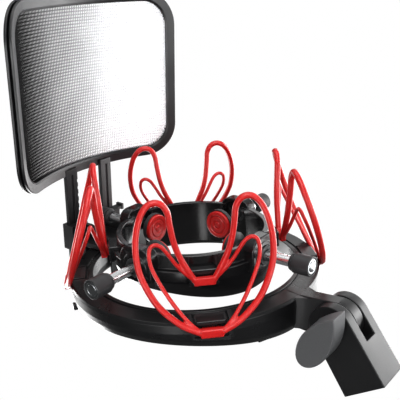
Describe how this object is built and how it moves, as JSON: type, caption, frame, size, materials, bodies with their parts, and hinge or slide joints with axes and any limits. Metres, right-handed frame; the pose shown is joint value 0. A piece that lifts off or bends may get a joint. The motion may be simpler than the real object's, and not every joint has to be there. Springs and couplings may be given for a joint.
{
  "type": "microphone shock mount",
  "caption": "Microphone shock mount: a cradle with clamping thumbscrews hangs on elastomer lyres in an outer ring that tilts on a stand block and carries a curved pop filter.",
  "frame": {"origin": "centre of the threaded end of the stand block, on the axis of its socket", "axes": "+Z along the cradle's axis, up out of the microphone opening; +Y from the pop filter towards the stand block; +X completes a right-handed frame and is the hinge axis, pointing to the side of the clamp lever"},
  "size_m": [0.1622, 0.2251, 0.2089],
  "materials": {
    "black_plastic": "satin",
    "gloss_black": "semi-gloss",
    "knob_plastic": "fine texture",
    "elastomer": "smooth semi-gloss",
    "chrome": "polished",
    "brass": "turned",
    "mesh": "woven wire, satin"
  },
  "bodies": {
    "stand": {"stand_block": "black_plastic", "thread_insert": "brass", "thread_adapter": "brass", "hinge_bolt": "chrome", "hinge_nut": "chrome", "hinge_washer": "chrome"},
    "lever": {"clamp_lever": "black_plastic"},
    "ring": {"outer_ring": "black_plastic", "lyre_front": "elastomer", "lyre_right": "elastomer", "lyre_back": "elastomer", "lyre_left": "elastomer", "pop_bracket": "black_plastic", "bracket_screw": "chrome"},
    "cradle_unit": {"cradle": "gloss_black", "bush_a": "black_plastic", "bush_b": "black_plastic", "bush_c": "black_plastic", "bush_d": "black_plastic"},
    "pop_filter": {"frame_rear": "black_plastic", "frame_front": "black_plastic", "pop_mesh": "mesh", "post_left": "black_plastic", "post_right": "black_plastic"},
    "holder_a": {"pad_a": "elastomer", "pad_cup_a": "black_plastic"},
    "screw_a": {"screw_rod_a": "chrome", "knob_a": "knob_plastic", "knob_collar_a": "knob_plastic"},
    "holder_b": {"pad_b": "elastomer", "pad_cup_b": "black_plastic"},
    "screw_b": {"screw_rod_b": "chrome", "knob_b": "knob_plastic", "knob_collar_b": "knob_plastic"},
    "holder_c": {"pad_c": "elastomer", "pad_cup_c": "black_plastic"},
    "screw_c": {"screw_rod_c": "chrome", "knob_c": "knob_plastic", "knob_collar_c": "knob_plastic"},
    "holder_d": {"pad_d": "elastomer", "pad_cup_d": "black_plastic"},
    "screw_d": {"screw_rod_d": "chrome", "knob_d": "knob_plastic", "knob_collar_d": "knob_plastic"}
  },
  "joints": [
    {"name": "tilt", "type": "hinge", "parent": "stand", "child": "ring", "pos_m": [0, -0.02015, 0.03103], "axis": [1, 0, 0], "range_deg": [-100, 12]},
    {"name": "clamp_turn", "type": "hinge", "parent": "stand", "child": "lever", "pos_m": [0, -0.02015, 0.03103], "axis": [1, 0, 0], "range_deg": [0, 120]},
    {"name": "cradle_float", "type": "slide", "parent": "ring", "child": "cradle_unit", "axis": [0, 0, 1], "range_m": [-0.006, 0.006], "stiffness_N_per_m": 1800, "deforming": ["lyre_front", "lyre_right", "lyre_back", "lyre_left"]},
    {"name": "filter_height", "type": "slide", "parent": "ring", "child": "pop_filter", "axis": [0, 0.0698, 0.9976], "range_m": [-0.01, 0.02]},
    {"name": "pad_travel_a", "type": "slide", "parent": "cradle_unit", "child": "holder_a", "axis": [-1, 0, 0], "range_m": [-0.0072, 0.0118]},
    {"name": "screw_turn_a", "type": "hinge", "parent": "holder_a", "child": "screw_a", "pos_m": [0.06, -0.11815, 0.05803], "axis": [-1, 0, 0], "range_deg": [-2612, 4268]},
    {"name": "pad_travel_b", "type": "slide", "parent": "cradle_unit", "child": "holder_b", "axis": [0, -1, 0], "range_m": [-0.0097, 0.0093]},
    {"name": "screw_turn_b", "type": "hinge", "parent": "holder_b", "child": "screw_b", "pos_m": [0, -0.05815, 0.05803], "axis": [0, -1, 0], "range_deg": [-3512, 3368]},
    {"name": "pad_travel_c", "type": "slide", "parent": "cradle_unit", "child": "holder_c", "axis": [1, 0, 0], "range_m": [-0.0132, 0.0058]},
    {"name": "screw_turn_c", "type": "hinge", "parent": "holder_c", "child": "screw_c", "pos_m": [-0.06, -0.11815, 0.05803], "axis": [1, 0, 0], "range_deg": [-4772, 2108]},
    {"name": "pad_travel_d", "type": "slide", "parent": "cradle_unit", "child": "holder_d", "axis": [0, 1, 0], "range_m": [-0.0087, 0.0103]},
    {"name": "screw_turn_d", "type": "hinge", "parent": "holder_d", "child": "screw_d", "pos_m": [0, -0.17815, 0.05803], "axis": [0, 1, 0], "range_deg": [-3152, 3728]}
  ],
  "couplings": [
    {"joint": "screw_turn_a", "follows": "pad_travel_a", "rad_per_m": 6283.2},
    {"joint": "screw_turn_b", "follows": "pad_travel_b", "rad_per_m": 6283.2},
    {"joint": "screw_turn_c", "follows": "pad_travel_c", "rad_per_m": 6283.2},
    {"joint": "screw_turn_d", "follows": "pad_travel_d", "rad_per_m": 6283.2}
  ]
}
